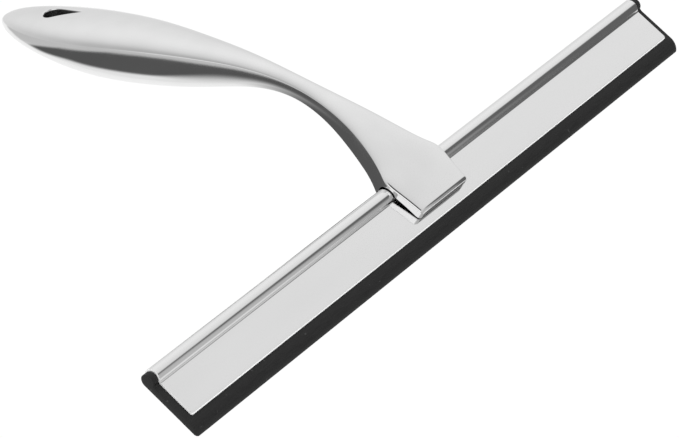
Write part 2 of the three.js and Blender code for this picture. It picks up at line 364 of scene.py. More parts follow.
def superellipse(half, reach, power, steps):
    """A quarter outline from its widest point to its middle, as (X, height)."""
    turn = np.linspace(0, np.pi / 2, steps + 1)
    size = (np.cos(turn) ** power + np.sin(turn) ** power) ** (-1 / power)
    return np.stack([half * np.cos(turn) * size, reach * np.sin(turn) * size], axis=1)


def lower_side(half, below, power, floor):
    """The lower quarter of a section: down its side, round a corner and in to the middle.

    floor is the depth at which the head's cut ends it, or None."""
    outline = superellipse(half, below, power, FINE_STEPS)
    if floor is not None and floor < below:
        wall_end = np.searchsorted(outline[:, 1], floor - CUT_FILLET)
        corner = np.interp(floor, outline[:, 1], outline[:, 0])
        wall = outline[:max(wall_end, 2)]
        inner = (corner - CUT_FILLET, floor)
        bend = curve(wall[-1], (corner, floor), inner, 8)
        ground = [inner, (0, floor)]
    else:
        wall = outline[:SIDE_END + 1]
        bend = outline[SIDE_END:CORNER_END + 1]
        ground = outline[CORNER_END:]
    side = np.concatenate([resample(wall, WALL_STEPS)[:-1], resample(bend, FILLET_STEPS)[:-1],
                           resample(ground, FLOOR_STEPS)])
    side[:, 1] *= -1
    return side


def handle_ring(place, floor=None, ahead=0.0):
    """One section of the handle. floor is the cut's height there; ahead is how far the section
    is inside the rounding of the head's front, from 0 to 1."""
    back, up, half, below, above = handle_line(place)
    along = place / LAST_SECTION
    step = 0.01
    tangent = handle_line(min(place + step, LAST_SECTION))[:2] - handle_line(max(place - step, 0))[:2]
    slope = math.atan2(tangent[1], tangent[0]) * smoothstep(place, *LEANS)
    power = SQUARE_HEAD + (SQUARE_GRIP - SQUARE_HEAD) * smoothstep(along, *LOWER_ROUNDS)
    past = max(0.0, (along - TIP_STARTS) / (1 - TIP_STARTS))
    closing = math.sqrt(max(1 - past ** TIP_FULLNESS, SMALLEST_TIP))
    rounding = 1 - math.sqrt(1 - ahead ** 2)
    half = (half - HEAD_CORNER * rounding) * closing
    above *= 1 - rounding
    up -= (HEAD_BROW - HANDLE_SECTIONS[0][4]) * rounding
    depth = None if floor is None else up - floor
    top_power = SQUARE_TOP_HEAD + (SQUARE_TOP_GRIP - SQUARE_TOP_HEAD) * smoothstep(along, *UPPER_ROUNDS)
    upper = superellipse(half, above * closing, top_power, UPPER_STEPS)
    lower = lower_side(half, below * closing, power, depth)
    mirror = np.array((-1, 1))
    outline = np.concatenate([upper[:-1], upper[::-1][:-1] * mirror,
                              lower[:-1] * mirror, lower[::-1][:-1]])
    x, height = outline.T
    return np.stack([x, back - math.sin(slope) * height, up + math.cos(slope) * height], axis=1)


def place_at(back):
    """Where along the head's sections the spine is this far back."""
    return float(np.interp(back, HEAD_BACKS, HEAD_PLACES))


def head_rings():
    """The head's sections, each with the height at which the cut for channel and jaw ends it."""
    rings = []
    for turn in np.linspace(0, np.pi / 2, NOSE_RINGS, endpoint=False):
        back = HEAD_FRONT + HEAD_BROW * (1 - math.cos(turn))
        rings.append(handle_ring(place_at(back), CLEARANCE, ahead=math.cos(turn)))
    for back in (HEAD_FRONT + HEAD_BROW, HOOD_FOOT):
        rings.append(handle_ring(place_at(back), CLEARANCE))
    rise = math.asin((HOOD_GAP[1] + BEAD_DROP) / HOOD_ROUND)
    hollow = BEAD_BACK - HOOD_ROUND * math.cos(rise)
    slope = zip(np.linspace(HOOD_FOOT, hollow, SLOPE_RINGS), np.linspace(*HOOD_GAP, SLOPE_RINGS))
    for back, gap in slope:
        rings.append(handle_ring(place_at(back), gap))
    for turn in np.linspace(math.pi - rise, 0, HOLLOW_RINGS)[1:]:
        back = BEAD_BACK + HOOD_ROUND * math.cos(turn)
        rings.append(handle_ring(place_at(back), HOOD_ROUND * math.sin(turn) - BEAD_DROP))
    for back in np.linspace(SEAT_FRONT, SEAT_BACK, SEAT_RINGS):
        rings.append(handle_ring(place_at(back), SEAT_LEVEL))
    return rings


def grip_rings(count=230):
    """The neck and grip's sections, closing to the tip."""
    start = math.asin(place_at(SEAT_BACK) / LAST_SECTION)
    turns = np.linspace(start, np.pi / 2, count)
    return [handle_ring(LAST_SECTION * math.sin(turn)) for turn in turns]


def drop_outline(radius, length, segments=40):
    """The hanging hole's outline on the table's axes, pointing to -Y, as (X, Y) with outward
    directions."""
    reach = length - radius
    taper = math.acos(radius / reach)
    start, end = taper - math.pi / 2, 1.5 * math.pi - taper
    turns = np.linspace(start, end, segments + 1)
    around = np.stack([np.cos(turns), np.sin(turns)], axis=1)
    points = list(radius * around)
    outward = list(around)
    tip = np.array((0.0, -reach))
    flank = 14
    for s in np.linspace(0, 1, flank, endpoint=False)[1:]:
        points.append(points[segments] * (1 - s) + tip * s)
        outward.append(around[-1])
    points.append(tip)
    outward.append(np.array((0.0, -1.0)))
    for s in np.linspace(1, 0, flank, endpoint=False)[1:]:
        points.append(points[0] * (1 - s) + tip * s)
        outward.append(around[0])
    turn = np.array([[math.cos(DROP_TURN), math.sin(DROP_TURN)],
                     [-math.sin(DROP_TURN), math.cos(DROP_TURN)]])
    return np.array(points) @ turn, np.array(outward) @ turn


def drop_cutter(piece):
    """An upright drop whose two ends flare outward, so the hole it cuts has rounded rims."""
    centre = BLADE @ Vector((0, DROP_BACK, DROP_UP))
    tree = BVHTree.FromObject(piece, bpy.context.evaluated_depsgraph_get())
    outline, outward = drop_outline(DROP_RADIUS, DROP_LENGTH)
    down, up = Vector((0, 0, -1)), Vector((0, 0, 1))
    tops, bottoms = [], []
    for (x, y), out in zip(outline, outward):
        place = centre + Vector((x + out[0] * DROP_RIM, y + out[1] * DROP_RIM, 0)) * MM
        tops.append(tree.ray_cast(Vector((place.x, place.y, RAY_START)), down)[0].z / MM)
        bottoms.append(tree.ray_cast(Vector((place.x, place.y, -RAY_START)), up)[0].z / MM)
    tops, bottoms = np.array(tops), np.array(bottoms)
    flare = DROP_OVERSHOOT * math.tan(DROP_FLARE)
    rings = []
    for turn in np.linspace(DROP_FLARE, 0, 8):
        rings.append((DROP_RIM * (1 - math.cos(turn)), tops - DROP_RIM * (1 - math.sin(turn))))
    rings.insert(0, (rings[0][0] + flare, rings[0][1] + DROP_OVERSHOOT))
    for turn in np.linspace(0, DROP_FLARE, 8):
        rings.append((DROP_RIM * (1 - math.cos(turn)), bottoms + DROP_RIM * (1 - math.sin(turn))))
    rings.append((rings[-1][0] + flare, rings[-1][1] - DROP_OVERSHOOT))
    solid = []
    for spread, heights in rings:
        flat = outline + outward * spread + np.array((centre.x, centre.y)) / MM
        solid.append(np.concatenate([flat, heights[:, None]], axis=1))
    return mesh_piece("drop_cutter", *capped(solid), Matrix.Scale(MM, 4))


def handle():
    """The casting: its lofted outside, the two screw holes and the hanging hole."""
    rings = head_rings() + grip_rings()
    vertices, faces = loft(rings)
    count = len(rings[0])
    faces += ladder(0, count)
    faces += ladder(len(vertices) - count, count)
    piece = mesh_piece("handle", vertices, faces)
    for x in (-SCREW_SPREAD, SCREW_SPREAD):
        bottom = SEAT_LEVEL - HOLE_OVERSHOOT
        cut(piece, round_bar("hole_cutter", HOLE_RADIUS, bottom, HOLE_TOP, x, SCREW_BACK))
    cut(piece, drop_cutter(piece))
    return piece


# ---------------------------------------------------------------- channel and rubber

FLAT_POINTS = 14                    # points along each straight part of an outline


def extrude(name, outline, stations, shape):
    """A closed outline of (Y, Z) carried through stations along X; shape(x, points) may bend it."""
    rings = []
    for x in stations:
        points = shape(x, np.array(outline, float))
        rings.append(np.column_stack([np.full(len(points), x), points]))
    return mesh_piece(name, *capped(rings))


def stations(length, corner, spacing=8.0):
    """Places along X: evenly spaced, and bunched over the rounded corners at both ends."""
    half = length / 2
    ends = [half - corner * (1 - math.sin(turn)) for turn in np.linspace(0, np.pi / 2, 9)]
    middle = np.linspace(-ends[0], ends[0], int(length / spacing))[1:-1]
    return [-x for x in ends[::-1]] + list(middle) + ends


def corner_shape(length, corner, front, depth):
    """Draws the front edge back over the last stretch at both ends, squeezing what is behind it."""
    def shape(x, points):
        past = abs(x) - (length / 2 - corner)
        if past <= 0:
            return points
        recess = corner - math.sqrt(max(corner ** 2 - past ** 2, 0))
        share = np.clip((points[:, 0] - front) / depth, 0, 1)
        points[:, 0] += recess * (1 - share)
        return points
    return shape


def channel():
    """The folded sheet: flat face, bend, bead and lower flange in one outline."""
    inner = BEAD_RADIUS - SHEET
    centre = (BEAD_BACK, -BEAD_DROP)
    # the fillet touches the flat face and the bead from outside
    rise = NECK_FILLET + BEAD_DROP
    run = math.sqrt((BEAD_RADIUS + NECK_FILLET) ** 2 - rise ** 2)
    fillet = (BEAD_BACK - run, NECK_FILLET)
    touch = math.atan2(rise, -run)
    under = -BEAD_DROP - BEAD_RADIUS
    outline = [(0, -SHEET)]
    outline += arc((EDGE_ROUND, -EDGE_ROUND), EDGE_ROUND, math.pi, math.pi / 2, 6)
    outline += [(y, 0) for y in np.linspace(EDGE_ROUND, fillet[0], FLAT_POINTS)[1:-1]]
    outline += arc(fillet, NECK_FILLET, -math.pi / 2, touch - math.pi, 8)[:-1]
    outline += arc(centre, BEAD_RADIUS, touch, -math.pi / 2, 56)
    outline += [(y, under) for y in np.linspace(BEAD_BACK, FLANGE_FRONT, FLAT_POINTS)[1:]]
    outline += [(FLANGE_FRONT, under + SHEET)]
    outline += [(y, under + SHEET) for y in np.linspace(FLANGE_FRONT, BEAD_BACK, FLAT_POINTS)[1:-1]]
    outline += arc(centre, inner, -math.pi / 2, touch, 48)[:-1]
    outline += arc(fillet, NECK_FILLET + SHEET, touch - math.pi, -math.pi / 2, 8)
    outline += [(y, -SHEET) for y in np.linspace(fillet[0], 0, FLAT_POINTS)[1:-1]]
    shape = corner_shape(CHANNEL_LENGTH, CHANNEL_CORNER, 0, CHANNEL_CORNER_DEPTH)
    piece = extrude("channel", outline, stations(CHANNEL_LENGTH, CHANNEL_CORNER), shape)
    bevel(piece, CHANNEL_BEVEL)
    return piece


def rubber():
    """The extrusion: lip in front, web between the flanges, bulb in the bead."""
    bulb = BEAD_RADIUS - SHEET - RUBBER_GAP
    top = -SHEET - RUBBER_GAP
    bottom = -BEAD_DROP - bulb
    step = FLANGE_FRONT - CLEARANCE
    aim = (-LIP_REACH + LIP_ROUNDING[0], top - LIP_ROUNDING[1])
    outline = curve((-LIP_SHOULDER, top), aim, (-LIP_REACH, -LIP_BOTTOM), 14)
    outline += [(y, -LIP_BOTTOM) for y in np.linspace(-LIP_REACH, step, 8)[1:]]
    outline += [(y, bottom) for y in np.linspace(step, BEAD_BACK, FLAT_POINTS)[:-1]]
    web = (BEAD_BACK - math.sqrt(bulb ** 2 - (BEAD_DROP + top) ** 2), top)
    web_turn = math.atan2(web[1] + BEAD_DROP, web[0] - BEAD_BACK)
    outline += arc((BEAD_BACK, -BEAD_DROP), bulb, -math.pi / 2, web_turn, 40)
    outline += [(y, top) for y in np.linspace(web[0], -LIP_SHOULDER, FLAT_POINTS)[1:-1]]
    round_ends = corner_shape(RUBBER_LENGTH, LIP_CORNER, -LIP_REACH, LIP_CORNER_DEPTH)
    end = CHANNEL_LENGTH / 2

    def shape(x, points):
        """Rounds the lip's ends, and lets the squeezed bulb swell where it leaves the channel."""
        offset = points - (BEAD_BACK, -BEAD_DROP)
        on_bulb = np.hypot(*offset.T) < bulb + ON_BULB
        swell = (BULB_FREE / bulb - 1) * smoothstep(abs(x), end, end + SWELL_PLACES[-1])
        points[on_bulb] += (offset[on_bulb] + (0, bulb)) * swell
        return round_ends(x, points)

    places = stations(RUBBER_LENGTH, LIP_CORNER)
    places += [side * (end + past) for side in (-1, 1) for past in SWELL_PLACES]
    piece = extrude("rubber", outline, sorted(places), shape)
    bevel(piece, RUBBER_BEVEL)
    return piece


# ---------------------------------------------------------------- lower jaw, screws, washers

def rounded_box(half, low, high, low_corner, high_corner, steps=6):
    """A section (X, Z) with rounded corners, starting at the middle of its top."""
    quarter = np.linspace(0, np.pi / 2, steps + 1)
    right = [(half - high_corner + high_corner * math.sin(a),
              high - high_corner + high_corner * math.cos(a)) for a in quarter]
    right += [(half - low_corner + low_corner * math.cos(a),
               low + low_corner - low_corner * math.sin(a)) for a in quarter]
    left = [(-x, z) for x, z in right[::-1]]
    return right + left


def jaw_half_width(back):
    """The jaw's plan: nearly straight to its widest place, then swept in to a narrow heel."""
    if back <= JAW_WIDE_AT:
        share = (back - JAW_FRONT) / (JAW_WIDE_AT - JAW_FRONT)
        return JAW_HALF_FRONT + (JAW_HALF_WIDE - JAW_HALF_FRONT) * share
    share = smoothstep(back, JAW_WIDE_AT, JAW_BACK - JAW_CORNER)
    half = JAW_HALF_WIDE + (JAW_HALF_BACK - JAW_HALF_WIDE) * share
    past = back - (JAW_BACK - JAW_CORNER)
    if past > 0:
        half -= JAW_CORNER - math.sqrt(max(JAW_CORNER ** 2 - past ** 2, 0))
    return half


def jaw():
    """The lower jaw, with a toe under the channel and a heel under the block."""
    toe = -BEAD_DROP - BEAD_RADIUS - CLEARANCE
    heel = SEAT_LEVEL - CLEARANCE
    step = SEAT_FRONT - CLEARANCE
    rings = []

    def add(back, high):
        low = JAW_BOTTOM + max(0, JAW_TOE_BEVEL - (back - JAW_FRONT))
        section = rounded_box(jaw_half_width(back), low, high, JAW_LOW_ROUND, JAW_HIGH_ROUND)
        rings.append([(x, back, z) for x, z in section])

    for back in np.linspace(JAW_FRONT, step, 30):
        add(back, toe)
    for back in np.linspace(step, JAW_BACK - JAW_CORNER, 14):
        add(back, heel)
    for turn in np.linspace(0, np.pi / 2, 12)[1:]:
        add(JAW_BACK - JAW_CORNER + JAW_CORNER * math.sin(turn), heel)
    piece = mesh_piece("jaw", *capped(rings))
    bevel(piece, JAW_BEVEL)
    bottom, top = JAW_BOTTOM - JAW_HOLE_OVERSHOOT, heel + JAW_HOLE_OVERSHOOT
    for x in (-SCREW_SPREAD, SCREW_SPREAD):
        cut(piece, round_bar("hole_cutter", JAW_HOLE_RADIUS, bottom, top, x, SCREW_BACK))
    return piece


def spin(name, profile, x, y, groove, segments=48):
    """Turns a profile of (radius, height) about an upright axis; groove(turn, radius, height)
    gives each point its own radius."""
    turns = np.linspace(0, 2 * np.pi, segments, endpoint=False)
    rings = []
    for radius, height in profile:
        radii = [groove(turn, radius, height) for turn in turns]
        rings.append([(x + r * math.cos(a), y + r * math.sin(a), height) for r, a in zip(radii, turns)])
    return mesh_piece(name, *capped(rings))


def thread(turn, radius, height):
    """Cuts a helical V groove into the shank and leaves head and tip alone."""
    if radius != SCREW_RADIUS:
        return radius
    phase = (height / THREAD_PITCH - turn / (2 * math.pi)) % 1
    return radius - THREAD_DEPTH * (1 - abs(2 * phase - 1))


def recess_cutter(x, y, bottom):
    """A cross recess: two tapered blades."""
    cutters = []
    for turn in (0.0, math.pi / 2):
        corners = []
        for height, length, width in RECESS:
            for sx, sy in ((1, 1), (-1, 1), (-1, -1), (1, -1)):
                px, py = sx * length, sy * width
                corners.append((x + px * math.cos(turn) - py * math.sin(turn),
                                y + px * math.sin(turn) + py * math.cos(turn), bottom + height))
        faces = [(0, 1, 2, 3), (4, 5, 6, 7)]
        faces += [(i, (i + 1) % 4, (i + 1) % 4 + 4, i + 4) for i in range(4)]
        cutters.append(mesh_piece("recess_cutter", corners, faces))
    return cutters


def screw(side, x):
    """A pan-head M3 screw with a cross recess, head down."""
    head_top = JAW_BOTTOM - 2 * STACK_GAP - WASHER_THICKNESS
    head_bottom = head_top - HEAD_HEIGHT
    profile = [(DOME_FLAT, head_bottom)]
    profile += [(HEAD_RADIUS * math.cos(a), head_bottom + HEAD_DOME - HEAD_DOME * math.sin(a))
                for a in np.linspace(np.pi / 2 - 0.02, 0, 12)[1:]]
    profile += [(HEAD_RADIUS, head_top - HEAD_EDGE), (HEAD_RADIUS - HEAD_EDGE, head_top)]
    rows = int((SCREW_TIP - head_top) / THREAD_PITCH * THREAD_ROWS)
    shank = np.linspace(head_top, SCREW_TIP - SCREW_TIP_BEVEL, rows)
    profile += [(SCREW_RADIUS, z) for z in shank]
    profile += [(SCREW_RADIUS - SCREW_TIP_BEVEL, SCREW_TIP)]
    piece = spin(f"screw_{side}", profile, x, SCREW_BACK, thread)
    for cutter in recess_cutter(x, SCREW_BACK, head_bottom):
        cut(piece, cutter)
    return piece


def washer(side, x):
    """A lock washer: a square-section ring with a split at the back."""
    top = JAW_BOTTOM - STACK_GAP
    edge = WASHER_EDGE
    low = top - WASHER_THICKNESS
    section = [(WASHER_INNER, low + edge), (WASHER_INNER + edge, low), (WASHER_OUTER - edge, low),
               (WASHER_OUTER, low + edge), (WASHER_OUTER, top - edge), (WASHER_OUTER - edge, top),
               (WASHER_INNER + edge, top), (WASHER_INNER, top - edge)]
    rings = []
    for turn in np.linspace(WASHER_SPLIT, 2 * np.pi - WASHER_SPLIT, 72):
        across, back = math.cos(turn + math.pi / 2), math.sin(turn + math.pi / 2)
        rings.append([(x + r * across, SCREW_BACK + r * back, z) for r, z in section])
    return mesh_piece(f"washer_{side}", *capped(rings))


# ---------------------------------------------------------------- finishes

# Colours are pairs between which a noise varies them, and so are roughnesses
CAST_COLOURS = (0.80, 0.80, 0.80), (0.84, 0.84, 0.84)
CAST_ROUGHNESS = (0.07, 0.11)
# The hanging hole's wall: a dark colour that is painted shade, with the rough finish of the casting
HOLE_SHADE_COLOUR = (0.20, 0.20, 0.20, 1)
HOLE_ROUGHNESS = 0.45
SHEET_COLOURS = (0.82, 0.82, 0.82), (0.85, 0.85, 0.85)
SHEET_ROUGHNESS = (0.07, 0.12)
# The sheet's cut ends and front edge: matt, with a painted highlight of bright white, non-metallic
# colour
SHEARED_HIGHLIGHT_COLOUR = (0.94, 0.94, 0.94, 1)
SHEARED_ROUGHNESS = 0.5
SCREW_COLOURS = (0.60, 0.60, 0.59), (0.70, 0.70, 0.69)
SCREW_ROUGHNESS = (0.22, 0.36)
RUBBER_COLOURS = (0.011, 0.011, 0.011), (0.017, 0.017, 0.017)
RUBBER_ROUGHNESS = (0.52, 0.66)
RUBBER_SHINE = 0.25
DUST_COLOUR = (0.04, 0.04, 0.04, 1)


def new_material(name):
    material = bpy.data.materials.new(name)
    material.use_nodes = True
    nodes = material.node_tree.nodes
    return material, nodes, material.node_tree.links, nodes["Principled BSDF"]


def stretched_noise(nodes, links, scale, detail):
    """Noise on the piece's own coordinates, stretched by a scale for each axis (per metre)."""
    where = nodes.new("ShaderNodeTexCoord")
    mapping = nodes.new("ShaderNodeMapping")
    mapping.inputs["Scale"].default_value = scale
    noise = nodes.new("ShaderNodeTexNoise")
    noise.inputs["Scale"].default_value = 1.0
    noise.inputs["Detail"].default_value = detail
    noise.inputs["Roughness"].default_value = 0.55
    links.new(where.outputs["Object"], mapping.inputs["Vector"])
    links.new(mapping.outputs["Vector"], noise.inputs["Vector"])
    return noise


def ranged(nodes, links, source, low, high, start=0.3, end=0.7):
    """Maps a noise's usual range to another range."""
    node = nodes.new("ShaderNodeMapRange")
    node.inputs["From Min"].default_value = start
    node.inputs["From Max"].default_value = end
    node.inputs["To Min"].default_value = low
    node.inputs["To Max"].default_value = high
    links.new(source, node.inputs["Value"])
    return node.outputs["Result"]


def bump(nodes, links, height, distance, normal=None):
    """A normal that follows a height of so many metres, over another normal if one is given."""
    node = nodes.new("ShaderNodeBump")
    node.inputs["Strength"].default_value = 1.0
    node.inputs["Distance"].default_value = distance
    links.new(height, node.inputs["Height"])
    if normal is not None:
        links.new(normal, node.inputs["Normal"])
    return node.outputs["Normal"]


def joined(nodes, links, operation, first, second):
    """Two values put together by a math operation."""
    node = nodes.new("ShaderNodeMath")
    node.operation = operation
    links.new(first, node.inputs[0])
    links.new(second, node.inputs[1])
    return node.outputs["Value"]


def dotted(nodes, links, source, direction):
    """How far a vector reaches along a direction."""
    node = nodes.new("ShaderNodeVectorMath")
    node.operation = "DOT_PRODUCT"
    node.inputs[1].default_value = direction
    links.new(source, node.inputs[0])
    return node.outputs["Value"]


def tinted(nodes, links, source, dark, light):
    """A colour between two, by a noise."""
    ramp = nodes.new("ShaderNodeValToRGB")
    ramp.color_ramp.elements[0].position = 0.3
    ramp.color_ramp.elements[0].color = (*dark, 1)
    ramp.color_ramp.elements[1].position = 0.7
    ramp.color_ramp.elements[1].color = (*light, 1)
    links.new(source, ramp.inputs["Fac"])
    return ramp.outputs["Color"]


def in_hanging_hole(nodes, links):
    """1 on the hanging hole's wall, which is unpolished and darkened with painted shade, and 0
    elsewhere.
    """
    where = nodes.new("ShaderNodeTexCoord")
    centre = BLADE @ Vector((0, DROP_BACK, DROP_UP)) - Vector((0, DROP_RADIUS * MM, 0))
    spread = Vector((HOLE_ZONE[0], HOLE_ZONE[1], 1)) * MM
    local = nodes.new("ShaderNodeMapping")
    local.vector_type = "TEXTURE"
    local.inputs["Location"].default_value = (centre.x, centre.y, 0)
    local.inputs["Scale"].default_value = spread
    flat = nodes.new("ShaderNodeVectorMath")
    flat.operation = "MULTIPLY"
    flat.inputs[1].default_value = (1, 1, 0)
    size = nodes.new("ShaderNodeVectorMath")
    size.operation = "LENGTH"
    level = nodes.new("ShaderNodeMath")
    level.operation = "ABSOLUTE"
    links.new(where.outputs["Object"], local.inputs["Vector"])
    links.new(local.outputs["Vector"], flat.inputs[0])
    links.new(flat.outputs["Vector"], size.inputs[0])
    links.new(dotted(nodes, links, where.outputs["Normal"], (0, 0, 1)), level.inputs[0])
    inside = ranged(nodes, links, size.outputs["Value"], 1.0, 0.0, 0.95, 1.05)
    upright = ranged(nodes, links, level.outputs["Value"], 1.0, 0.0, 0.35, 0.6)
    return joined(nodes, links, "MULTIPLY", inside, upright)


def cast_metal():
    """Bright polished casting: soft cloudiness, a faintly uneven surface from hand polishing, and
    the hanging hole's wall, rough as it left the mould and darkened with painted shade."""
    material, nodes, links, shader = new_material("polished_casting")
    shader.inputs["Metallic"].default_value = 1.0
    cloud = stretched_noise(nodes, links, (70, 70, 70), 2.0)
    wave = stretched_noise(nodes, links, (45, 28, 45), 1.0)
    grain = stretched_noise(nodes, links, (4200, 900, 4200), 2.0)
    polished = tinted(nodes, links, cloud.outputs["Fac"], *CAST_COLOURS)
    polish = ranged(nodes, links, cloud.outputs["Fac"], *CAST_ROUGHNESS)
    # The hole's wall gets a rough finish and a dark colour that is painted shade
    rough_shaded_wall = in_hanging_hole(nodes, links)
    colour = nodes.new("ShaderNodeMix")
    colour.data_type = "RGBA"
    colour.inputs["B"].default_value = HOLE_SHADE_COLOUR
    finish = nodes.new("ShaderNodeMix")
    finish.inputs["B"].default_value = HOLE_ROUGHNESS
    for node, smooth, key in ((colour, polished, "Base Color"), (finish, polish, "Roughness")):
        links.new(rough_shaded_wall, node.inputs["Factor"])
        links.new(smooth, node.inputs["A"])
        links.new(node.outputs["Result"], shader.inputs[key])
    normal = bump(nodes, links, wave.outputs["Fac"], 0.00015)
    normal = bump(nodes, links, grain.outputs["Fac"], 0.000004, normal=normal)
    links.new(normal, shader.inputs["Normal"])
    return material


def sheared_highlit_edges(nodes, links):
    """1 on the sheet's cut ends and on its front edge, which are matt and carry a painted highlight,
    and 0 elsewhere.
    """
    where = nodes.new("ShaderNodeTexCoord")

    def along(source, direction, start, end):
        reach = dotted(nodes, links, where.outputs[source], direction)
        return ranged(nodes, links, reach, 0.0, 1.0, start, end)

    turn = BLADE.to_3x3().normalized()
    back = turn.col[1]
    front = back.dot(BLADE.translation)
    right, left = along("Normal", (1, 0, 0), 0.6, 0.85), along("Normal", (-1, 0, 0), 0.6, 0.85)
    ends = joined(nodes, links, "MAXIMUM", right, left)
    forward = along("Normal", -back, 0.1, 0.5)
    ahead = along("Object", back, front + 2 * EDGE_ROUND * MM, front + EDGE_ROUND * MM)
    return joined(nodes, links, "MAXIMUM", ends, joined(nodes, links, "MULTIPLY", forward, ahead))


def sheet_steel():
    """Polished stainless sheet with the faint grain of its rolling direction."""
    material, nodes, links, shader = new_material("rolled_sheet")
    shader.inputs["Anisotropic"].default_value = 0.3
    cloud = stretched_noise(nodes, links, (12, 60, 60), 2.0)
    grain = stretched_noise(nodes, links, (60, 5000, 5000), 2.0)
    # The cut ends and front edge get a painted highlight: bright white, non-metallic colour on a matt
    # finish
    edge = sheared_highlit_edges(nodes, links)
    face = tinted(nodes, links, cloud.outputs["Fac"], *SHEET_COLOURS)
    colour = nodes.new("ShaderNodeMix")
    colour.data_type = "RGBA"
    links.new(face, colour.inputs["A"])
    colour.inputs["B"].default_value = SHEARED_HIGHLIGHT_COLOUR
    finish = nodes.new("ShaderNodeMix")
    links.new(ranged(nodes, links, grain.outputs["Fac"], *SHEET_ROUGHNESS), finish.inputs["A"])
    finish.inputs["B"].default_value = SHEARED_ROUGHNESS
    metal = nodes.new("ShaderNodeMix")
    metal.inputs["A"].default_value = 1.0
    metal.inputs["B"].default_value = 0.0
    for node, key in ((colour, "Base Color"), (finish, "Roughness"), (metal, "Metallic")):
        links.new(edge, node.inputs["Factor"])
        links.new(node.outputs["Result"], shader.inputs[key])
    normal = bump(nodes, links, grain.outputs["Fac"], 0.000003)
    links.new(normal, shader.inputs["Normal"])
    return material


def screw_steel():
    """Plain turned steel, a little duller."""
    material, nodes, links, shader = new_material("turned_steel")
    shader.inputs["Metallic"].default_value = 1.0
    spots = stretched_noise(nodes, links, (900, 900, 900), 3.0)
    height = spots.outputs["Fac"]
    links.new(tinted(nodes, links, height, *SCREW_COLOURS), shader.inputs["Base Color"])
    links.new(ranged(nodes, links, height, *SCREW_ROUGHNESS), shader.inputs["Roughness"])
    links.new(bump(nodes, links, height, 0.00001), shader.inputs["Normal"])
    return material


def black_rubber():
    """Matt black rubber, with extrusion grain and a few faint specks of dust."""
    material, nodes, links, shader = new_material("black_rubber")
    grain = stretched_noise(nodes, links, (250, 3500, 3500), 3.0)
    dust = stretched_noise(nodes, links, (700, 700, 700), 0.0)
    speck = ranged(nodes, links, dust.outputs["Fac"], 0.0, 1.0, 0.80, 0.86)
    mix = nodes.new("ShaderNodeMix")
    mix.data_type = "RGBA"
    links.new(speck, mix.inputs["Factor"])
    links.new(tinted(nodes, links, grain.outputs["Fac"], *RUBBER_COLOURS), mix.inputs["A"])
    mix.inputs["B"].default_value = DUST_COLOUR
    links.new(mix.outputs["Result"], shader.inputs["Base Color"])
    links.new(ranged(nodes, links, grain.outputs["Fac"], *RUBBER_ROUGHNESS), shader.inputs["Roughness"])
    shader.inputs["Specular IOR Level"].default_value = RUBBER_SHINE
    links.new(bump(nodes, links, grain.outputs["Fac"], 0.00002), shader.inputs["Normal"])
    return material


# ---------------------------------------------------------------- studio

VIEW_AZIMUTH = math.radians(-52.71)
VIEW_ELEVATION = math.radians(35.87)
CAMERA_PLACE = (-0.6269, -0.5255, 0.5527)
LENS = 161.1
TABLE_LIGHT = 1.02
BACKDROP_LIGHT = 1.3

# The handle's shadow on the table: distances in mm, as (X, Y) unless it says otherwise
SHADOW_LIGHT = 0.10
SHADOW_START = (-60, -70)
SHADOW_END = (20, 90)
SHADOW_LEVEL = 0.1
SHADOW_LEFT = [(-60, -34), (-28, -34), (-14, -34), (-4, -40), (8, -42), (32, -42), (42, -40), (54, -36),
               (64, -29), (72, -23), (77, -17), (82, -10), (90, 10)]     # (Y, X) along its left edge
SHADOW_BLUR = 3                     # half the width of its soft left edge
SHADOW_RIGHT = -14                  # X of its right edge up to the grip
SHADOW_RIGHT_SHIFT = 3              # how much further right that edge is at the tip
SHADOW_SHIFTS = (60, 76)            # Y between which it moves there
SHADOW_RIGHT_BLUR = (2, 14)         # softness of the right edge at the tip, and what the head adds
SHADOW_SOFTENS = (30, 0)            # Y between which the right edge softens
SHADOW_SPREADS = (0, -22)           # Y between which it spreads to the right under the head

# Directions in the room, from the squeegee
UP = (0, 0, 1)
LEFT = (-1, 0, 0)
BACK_RIGHT = (0.707, 0.707, 0)
FRONT_LEFT = (-0.72, -0.69, 0)
TABLE_FAR = (0.6, 0.8, 0)

# Round areas of the room: the direction of the middle, and how close to it they begin and are full
GLOOM = (0, -0.36, 0.933), 0.965, 0.990         # a small dark area, nearly overhead
WINDOW = (-0.75, -0.30, 0.59), 0.84, 0.93       # the brightest area, high on the left
FRONT = (0.736, -0.663, 0.139), 0.80, 0.90      # the dark area in front on the right
GLOOM_LIGHT = 0.06
WINDOW_LIGHT = 1.15

# Brightness between which the room's wide areas vary
WALL_LIGHT = (0.50, 0.80)
CEILING_LIGHT = (0.0, 0.16)         # added to the wall's
BELOW_LIGHT = (0.75, 1.0)
LEFT_LIGHT = (0.60, 0.90)
FRONT_LIGHT = (0.13, 0.55)
FRONT_TABLE_LIGHT = 0.85


def camera():
    """The photo's view, from above in front on the left."""
    data = bpy.data.cameras.new("camera")
    data.sensor_width = 36
    data.lens = LENS
    view = bpy.data.objects.new("camera", data)
    view.location = CAMERA_PLACE
    view.rotation_euler = Euler((math.pi / 2 - VIEW_ELEVATION, 0, VIEW_AZIMUTH))
    bpy.context.scene.collection.objects.link(view)
    bpy.context.scene.camera = view


def flat_light(name, light):
    """A material made to mix an even glow and a clear surface, with its mixer still unconnected."""
    material = bpy.data.materials.new(name)
    material.use_nodes = True
    nodes, links = material.node_tree.nodes, material.node_tree.links
    nodes.clear()
    glow = nodes.new("ShaderNodeEmission")
    glow.inputs["Strength"].default_value = light
    clear = nodes.new("ShaderNodeBsdfTransparent")
    mix = nodes.new("ShaderNodeMixShader")
    output = nodes.new("ShaderNodeOutputMaterial")
    links.new(mix.outputs["Shader"], output.inputs["Surface"])
    return material, mix, glow.outputs["Emission"], clear.outputs["BSDF"]


